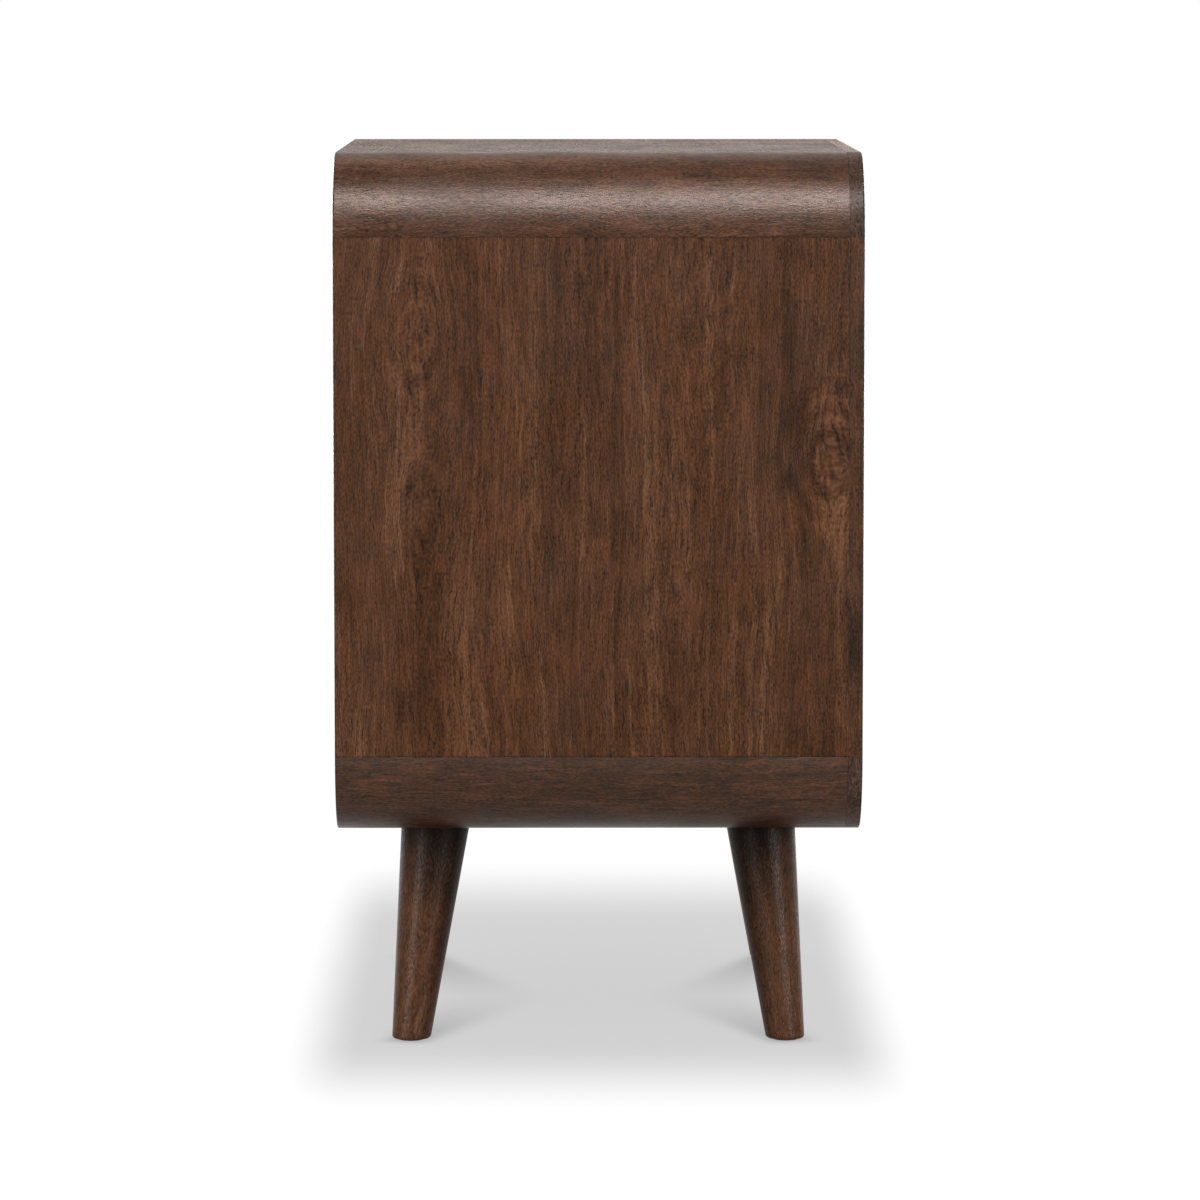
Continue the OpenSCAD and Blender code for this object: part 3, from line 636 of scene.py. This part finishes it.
# Nylon glides are nailed under the feet, so that the nightstand slides on a floor without marking it. They
# are moulded matt and scuffed.
NYLON = (0.032, 0.029, 0.026)
glide_nylon, tree, shader = new_material("glide_nylon")
x, y, z = place_axes(tree)
scuffs = noise(tree, streaks(tree, x, y, z, 0.0012, 0.0012), 3.0)
clouds = noise(tree, streaks(tree, x, y, z, 0.006, 0.006), 2.0)
tint(tree, shader, NYLON, add_up(tree, 1.0, (clouds, 0.25)))
tree.links.new(add_up(tree, 0.60, (scuffs, 0.12)), shader.inputs["Roughness"])
emboss(tree, shader, scuffs, 0.3, 0.05 * MM)
dress_node("foot_glides", glide_nylon)


# Beech dowels sit in every joint of the case and keep its boards in line. Glue holds them, and none shows
# once the case is together.
def pale_wood(name, grain, seed, light, dark, contrast, flecks):
    """Unstained hardwood under clear oil."""
    material, tree, shader = new_material(name)
    across, through, along = grain_axes(tree, grain)
    across = maths(tree, "ADD", across, seed)
    wander = noise(tree, streaks(tree, across, through, along, 0.06, 0.20))
    across = add_up(tree, across, (wander, 4 * MM))
    rings = noise(tree, streaks(tree, across, through, along, 0.009, 0.22), 2.0)
    fibre = noise(tree, streaks(tree, across, through, along, 0.0016, 0.018), 2.0)
    spots = noise(tree, streaks(tree, across, through, along, 0.0007, 0.0028), 0.0)
    mixed = add_up(tree, 0.0, (rings, contrast), (fibre, 0.35))
    colour = blend_colour(tree, ramp(tree, mixed, -1.1, 1.1), dark, light)
    tint(tree, shader, colour, add_up(tree, 1.0, (spots, -flecks)))
    tree.links.new(add_up(tree, 0.52, (fibre, 0.05)), shader.inputs["Roughness"])
    emboss(tree, shader, fibre, 0.35, 0.08 * MM)
    return material


BEECH_LIGHT = (0.56, 0.36, 0.20)
BEECH_DARK = (0.45, 0.27, 0.14)
dress_node("joint_dowels",
           pale_wood("beech_dowel", "XY", 3.0, BEECH_LIGHT, BEECH_DARK, contrast=0.3, flecks=0.06))

# The drawer fronts are solid walnut with level grain, cut to the case's rounded corners. A finger pull is
# sawn into the middle of each top edge, and the edges are rounded over.
FRONT_ROUND = 1.8 * MM
FRONT_BACK_EASE = 0.6 * MM
PULL_HALF = 55 * MM
PULL_DROP = 22 * MM
PULL_R = 21.4 * MM
for number, level in enumerate(("upper", "lower")):
    low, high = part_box("drawer_front_" + level)
    front_r = case_r - wall - (low.x - side_high.x)
    pull_z = high.z - PULL_DROP
    xs = (low.x, -PULL_HALF, -PULL_HALF, PULL_HALF, PULL_HALF, high.x, high.x, low.x)
    zs = (high.z, high.z, pull_z, pull_z, high.z, high.z, low.z, low.z)
    front_bm = bmesh.new()
    outline_face(front_bm, [(x, low.y, z) for x, z in zip(xs, zs)])
    round_z = high.z if level == "upper" else low.z
    round_corners(front_bm, lambda v: near(v.co.z, round_z) and abs(v.co.x) > 2 * PULL_HALF, front_r, 24)
    round_corners(front_bm, lambda v: near(v.co.z, pull_z), PULL_R, 16)
    pull_face(front_bm, front_bm.faces[:][0], Vector((0, high.y - low.y, 0)))
    ease_edges(front_bm, FRONT_ROUND, lambda e: all(near(v.co.y, low.y) for v in e.verts), steps=5)
    ease_edges(front_bm, FRONT_BACK_EASE, lambda e: all(near(v.co.y, high.y) for v in e.verts))
    eye = figure(low.z + 0.075, -0.07 + 0.16 * number, 0.018, 0.075, swell=0.6, rings=0.7, dark=0.05)
    front_boards = ((low.z + 0.120, -0.05 + 0.09 * number),)
    front_walnut = walnut("walnut_front_" + level, "XZ", 51.0 + 4 * number, front_boards, figures=(eye,))
    finish_piece("drawer_front_" + level + "_board", front_bm, level + "_drawer",
                 front_walnut, "drawer_front_" + level)


# Each drawer box is pale hardwood, finger-jointed and glued at its corners, with a plywood bottom in a
# groove. Its edges are sanded round, so that nothing catches.
def eased_copy(node, body, material, ease, min_length, steps=2):
    """A copy of a CAD solid with its long edges rounded."""
    bm = bmesh.new()
    bm.from_mesh(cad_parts[node].data)
    bmesh.ops.remove_doubles(bm, verts=bm.verts, dist=1e-6)
    bmesh.ops.dissolve_limit(bm, angle_limit=math.radians(1), verts=bm.verts, edges=bm.edges)
    ease_edges(bm, ease, lambda e: e.calc_length() > min_length, steps)
    return finish_piece(node + "_eased", bm, body, material, node)


BOX_LIGHT = (0.60, 0.41, 0.235)
BOX_DARK = (0.46, 0.285, 0.145)
PLY_LIGHT = (0.62, 0.44, 0.27)
PLY_DARK = (0.52, 0.345, 0.19)
BOX_EASE = 0.3 * MM
BOX_SHORTEST = 8 * MM
box_level = pale_wood("drawer_box_level", "XZ", 7.0, BOX_LIGHT, BOX_DARK, contrast=0.5, flecks=0.05)
box_deep = pale_wood("drawer_box_deep", "YZ", 9.0, BOX_LIGHT, BOX_DARK, contrast=0.5, flecks=0.05)
bottom_ply = pale_wood("drawer_bottom_ply", "XY", 13.0, PLY_LIGHT, PLY_DARK, contrast=0.8, flecks=0.03)
for level in ("upper", "lower"):
    for node, slot, material in (("box_front_" + level, "drawer_box_wood", box_level),
                                 ("box_back_" + level, "drawer_box_wood", box_level),
                                 ("box_side_" + level + "_left", "drawer_box_wood", box_deep),
                                 ("box_side_" + level + "_right", "drawer_box_wood", box_deep),
                                 ("box_bottom_" + level, "drawer_bottom_ply", bottom_ply)):
        eased_copy(node, level + "_drawer", material, BOX_EASE, BOX_SHORTEST)

# Ball runners of rolled, zinc-plated sheet steel carry the drawers: one member on the case, a middle
# member between two rows of balls, and one on the drawer box. The bends and lips of the sheet are round.
RUNNER_EASE = 0.45 * MM
RUNNER_SHORTEST = 100 * MM
runner_steel = metal("runner_steel", (0.44, 0.445, 0.45), roughness=0.34, cloud=0.05, scratch=0.05)
cage_steel = metal("cage_steel", (0.36, 0.365, 0.37), roughness=0.24, cloud=0.05)
for level in ("upper", "lower"):
    for side in ("left", "right"):
        for member, body in (("runner_case_", "case"), ("runner_middle_", level + "_runner_middles"),
                             ("runner_drawer_", level + "_drawer")):
            eased_copy(member + level + "_" + side, body, runner_steel, RUNNER_EASE,
                       RUNNER_SHORTEST, steps=3)
    dress_node("ball_cages_" + level, cage_steel)

# The studio floor is plain and white. It shows a painted shadow, a soft dark patch under the nightstand,
# and in it a painted short shadow that runs inwards from each foot and fades. From below it can be seen
# through.
FLOOR_HALF = 8.0
FLOOR_LIT = (0.08, 0.08, 0.08)
FLOOR_BOUNCE = (0.50, 0.50, 0.50)
OPEN_GLOW = 0.97
# The painted shadow under the nightstand: the floor's glow inside it, its edges and how soft they are.
SHADOW_PATCH_GLOW = 0.609
PATCH_X = (-0.3525, 0.5590)
PATCH_Y = (-0.2042, 0.2030)
PATCH_BLUR_X = (0.145, 0.213)
PATCH_BLUR_Y = (0.030, 0.030)
FOOT_SHADOW_TURN = math.radians(18)
FOOT_SHADOW_START = -0.03
FOOT_SHADOW_LENGTH = 0.29
FOOT_SHADOW_DEPTH = 0.36
FOOT_SHADOW_HALF = 0.0175
FOOT_SHADOW_SPREAD = 0.09
FOOT_SHADOW_EDGE = 3.0
floor_bm = bmesh.new()
bmesh.ops.create_grid(floor_bm, x_segments=1, y_segments=1, size=FLOOR_HALF)
floor_mesh = bpy.data.meshes.new("floor")
floor_bm.to_mesh(floor_mesh)
floor_bm.free()
floor = bpy.data.objects.new("floor", floor_mesh)
bpy.context.scene.collection.objects.link(floor)


def patch_amount(tree, x, y):
    """1 inside the painted shadow under the nightstand, 0 far from it, and soft at its borders."""
    amount = 1.0
    for place, edges, blurs in ((x, PATCH_X, PATCH_BLUR_X), (y, PATCH_Y, PATCH_BLUR_Y)):
        rise = ramp(tree, place, edges[0] - blurs[0], edges[0] + blurs[0])
        fall = ramp(tree, place, edges[1] - blurs[1], edges[1] + blurs[1], 1.0, 0.0)
        amount = maths(tree, "MULTIPLY", maths(tree, "MULTIPLY", rise, fall), amount)
    return amount


def foot_shadow_amount(tree, x, y):
    """1 where a foot's shadow is deepest, 0 outside it. The four are alike, mirrored about the middle."""
    from_foot_x = maths(tree, "SUBTRACT", foot_x, maths(tree, "ABSOLUTE", x))
    from_foot_y = maths(tree, "SUBTRACT", foot_y, maths(tree, "ABSOLUTE", y))
    turn_cos = math.cos(FOOT_SHADOW_TURN)
    turn_sin = math.sin(FOOT_SHADOW_TURN)
    inward = add_up(tree, maths(tree, "MULTIPLY", from_foot_y, turn_sin), (from_foot_x, turn_cos))
    aside = add_up(tree, maths(tree, "MULTIPLY", from_foot_y, turn_cos), (from_foot_x, -turn_sin))
    half = add_up(tree, FOOT_SHADOW_HALF, (maths(tree, "MAXIMUM", inward, 0.0), FOOT_SHADOW_SPREAD))
    fade = maths(tree, "MAXIMUM", add_up(tree, 1.0, (inward, -1 / FOOT_SHADOW_LENGTH)), 0.0)
    start = ramp(tree, inward, FOOT_SHADOW_START, 0.0)
    fade = maths(tree, "MULTIPLY", maths(tree, "MULTIPLY", fade, fade), start)
    off_line = maths(tree, "DIVIDE", maths(tree, "ABSOLUTE", aside), half)
    spread = maths(tree, "POWER", off_line, FOOT_SHADOW_EDGE)
    return maths(tree, "MULTIPLY", fade, maths(tree, "EXPONENT", maths(tree, "MULTIPLY", spread, -1.0)))


def seen_directly(tree):
    """1 for rays from the camera, off a glossy surface or through a clear one, 0 for gathered light."""
    path = tree.nodes.new("ShaderNodeLightPath")
    seen = maths(tree, "MAXIMUM", path.outputs["Is Camera Ray"], path.outputs["Is Glossy Ray"])
    return maths(tree, "MAXIMUM", seen, path.outputs["Is Transmission Ray"])


def either_shader(tree, amount, first, second):
    """A shader that is the first where amount is 0, the second where it is 1."""
    node = tree.nodes.new("ShaderNodeMixShader")
    tree.links.new(amount, node.inputs[0])
    tree.links.new(first.outputs[0], node.inputs[1])
    tree.links.new(second.outputs[0], node.inputs[2])
    return node


floor_paint, tree, bounce = new_material("floor_paint")
bounce.inputs["Base Color"].default_value = (*FLOOR_BOUNCE, 1)
bounce.inputs["Roughness"].default_value = 1.0
bounce.inputs["Specular IOR Level"].default_value = 0.0
x, y, z = place_axes(tree)
lit = tree.nodes.new("ShaderNodeBsdfDiffuse")
lit.inputs["Color"].default_value = (*FLOOR_LIT, 1)
glow = tree.nodes.new("ShaderNodeEmission")
glow_strength = add_up(tree, OPEN_GLOW, (patch_amount(tree, x, y), SHADOW_PATCH_GLOW - OPEN_GLOW))
kept_glow = add_up(tree, 1.0, (foot_shadow_amount(tree, x, y), -FOOT_SHADOW_DEPTH))
tree.links.new(maths(tree, "MULTIPLY", glow_strength, kept_glow), glow.inputs["Strength"])
shown = tree.nodes.new("ShaderNodeAddShader")
tree.links.new(lit.outputs[0], shown.inputs[0])
tree.links.new(glow.outputs[0], shown.inputs[1])
from_above = either_shader(tree, seen_directly(tree), bounce, shown)
backfacing = tree.nodes.new("ShaderNodeNewGeometry").outputs["Backfacing"]
see_through = either_shader(tree, backfacing, from_above, tree.nodes.new("ShaderNodeBsdfTransparent"))
tree.links.new(see_through.outputs[0], tree.nodes["Material Output"].inputs[0])
floor_mesh.materials.append(floor_paint)

# Soft lamps stand round the nightstand and light it, not the floor. Two above the shoulders and four
# upright strips at the corners only draw shine, the four fills only light.
LEFT_SHOULDER = Vector((-0.23, 0, 0.62))
RIGHT_SHOULDER = Vector((0.23, 0, 0.62))
MIDDLE = Vector((0, 0, 0.4))
SHINE_RADIANCE = 38.0
STRIP_RADIANCE = 36.0
FILLS = {"left": (270, 3.95), "front": (0, 2.0), "right": (90, 2.0), "back": (180, 2.0)}


def all_but(name, pieces):
    """A collection that keeps a lamp off the pieces in it."""
    kept_dark = bpy.data.collections.new(name)
    for piece in pieces:
        kept_dark.objects.link(piece)
    for linked in kept_dark.collection_objects:
        linked.light_linking.link_state = "EXCLUDE"
    return kept_dark


def softbox(name, azimuth, elevation, distance, size, radiance, receivers, target=MIDDLE):
    """A rectangular lamp that faces its target. azimuth turns from the front to the right, in degrees."""
    width, height = size
    lamp = bpy.data.lights.new(name, "AREA")
    lamp.shape = "RECTANGLE"
    lamp.size = width
    lamp.size_y = height
    lamp.energy = radiance * math.pi * width * height
    holder = bpy.data.objects.new(name, lamp)
    turn = math.radians(azimuth)
    rise = math.radians(elevation)
    aim = Vector((math.sin(turn) * math.cos(rise), -math.cos(turn) * math.cos(rise), math.sin(rise)))
    holder.location = target + aim * distance
    holder.rotation_euler = (-aim).to_track_quat("-Z", "Y").to_euler()
    holder.light_linking.receiver_collection = receivers
    bpy.context.scene.collection.objects.link(holder)
    return holder


meshes = [piece for piece in bpy.data.objects if piece.type == "MESH"]
steel = [piece for piece in meshes if piece.active_material in (zinc, runner_steel, cage_steel)]
left_curves = [bpy.data.objects["shoulder_top_left_rail"], bpy.data.objects["facing_corner_top_left_bend"]]
off_floor = all_but("off_floor", [floor])
off_steel = all_but("off_steel", [floor, *steel])
off_left_shoulder = all_but("off_left_shoulder", [floor, *steel, *left_curves])
shines = [
    softbox("shine_left", 280, 51, 2.0, (1.5, 0.80), SHINE_RADIANCE, off_steel, LEFT_SHOULDER),
    softbox("shine_right", 80, 51, 2.0, (1.5, 0.80), SHINE_RADIANCE, off_left_shoulder, RIGHT_SHOULDER),
]
for azimuth in (51, 129, 231, 309):
    shines.append(softbox("strip_" + str(azimuth), azimuth, 8, 2.6, (0.5, 1.2), STRIP_RADIANCE, off_steel))
for holder in shines:
    holder.visible_diffuse = False
for side, (azimuth, radiance) in FILLS.items():
    fill = softbox("fill_" + side, azimuth, 22, 3.2, (1.6, 1.6), radiance, off_floor)
    fill.visible_glossy = False

# The studio is a plain white room, which lights everything evenly from all sides. It is shown brighter
# than the light it gives, so that it stays white behind the nightstand.
ROOM_LIGHT = 0.75
world = bpy.data.worlds.new("studio")
bpy.context.scene.world = world
world.use_nodes = True
sky = world.node_tree
room_strength = add_up(sky, ROOM_LIGHT, (seen_directly(sky), 1.0 - ROOM_LIGHT))
sky.nodes["Background"].inputs["Color"].default_value = (1, 1, 1, 1)
sky.links.new(room_strength, sky.nodes["Background"].inputs["Strength"])

bpy.context.scene.view_settings.view_transform = "Standard"
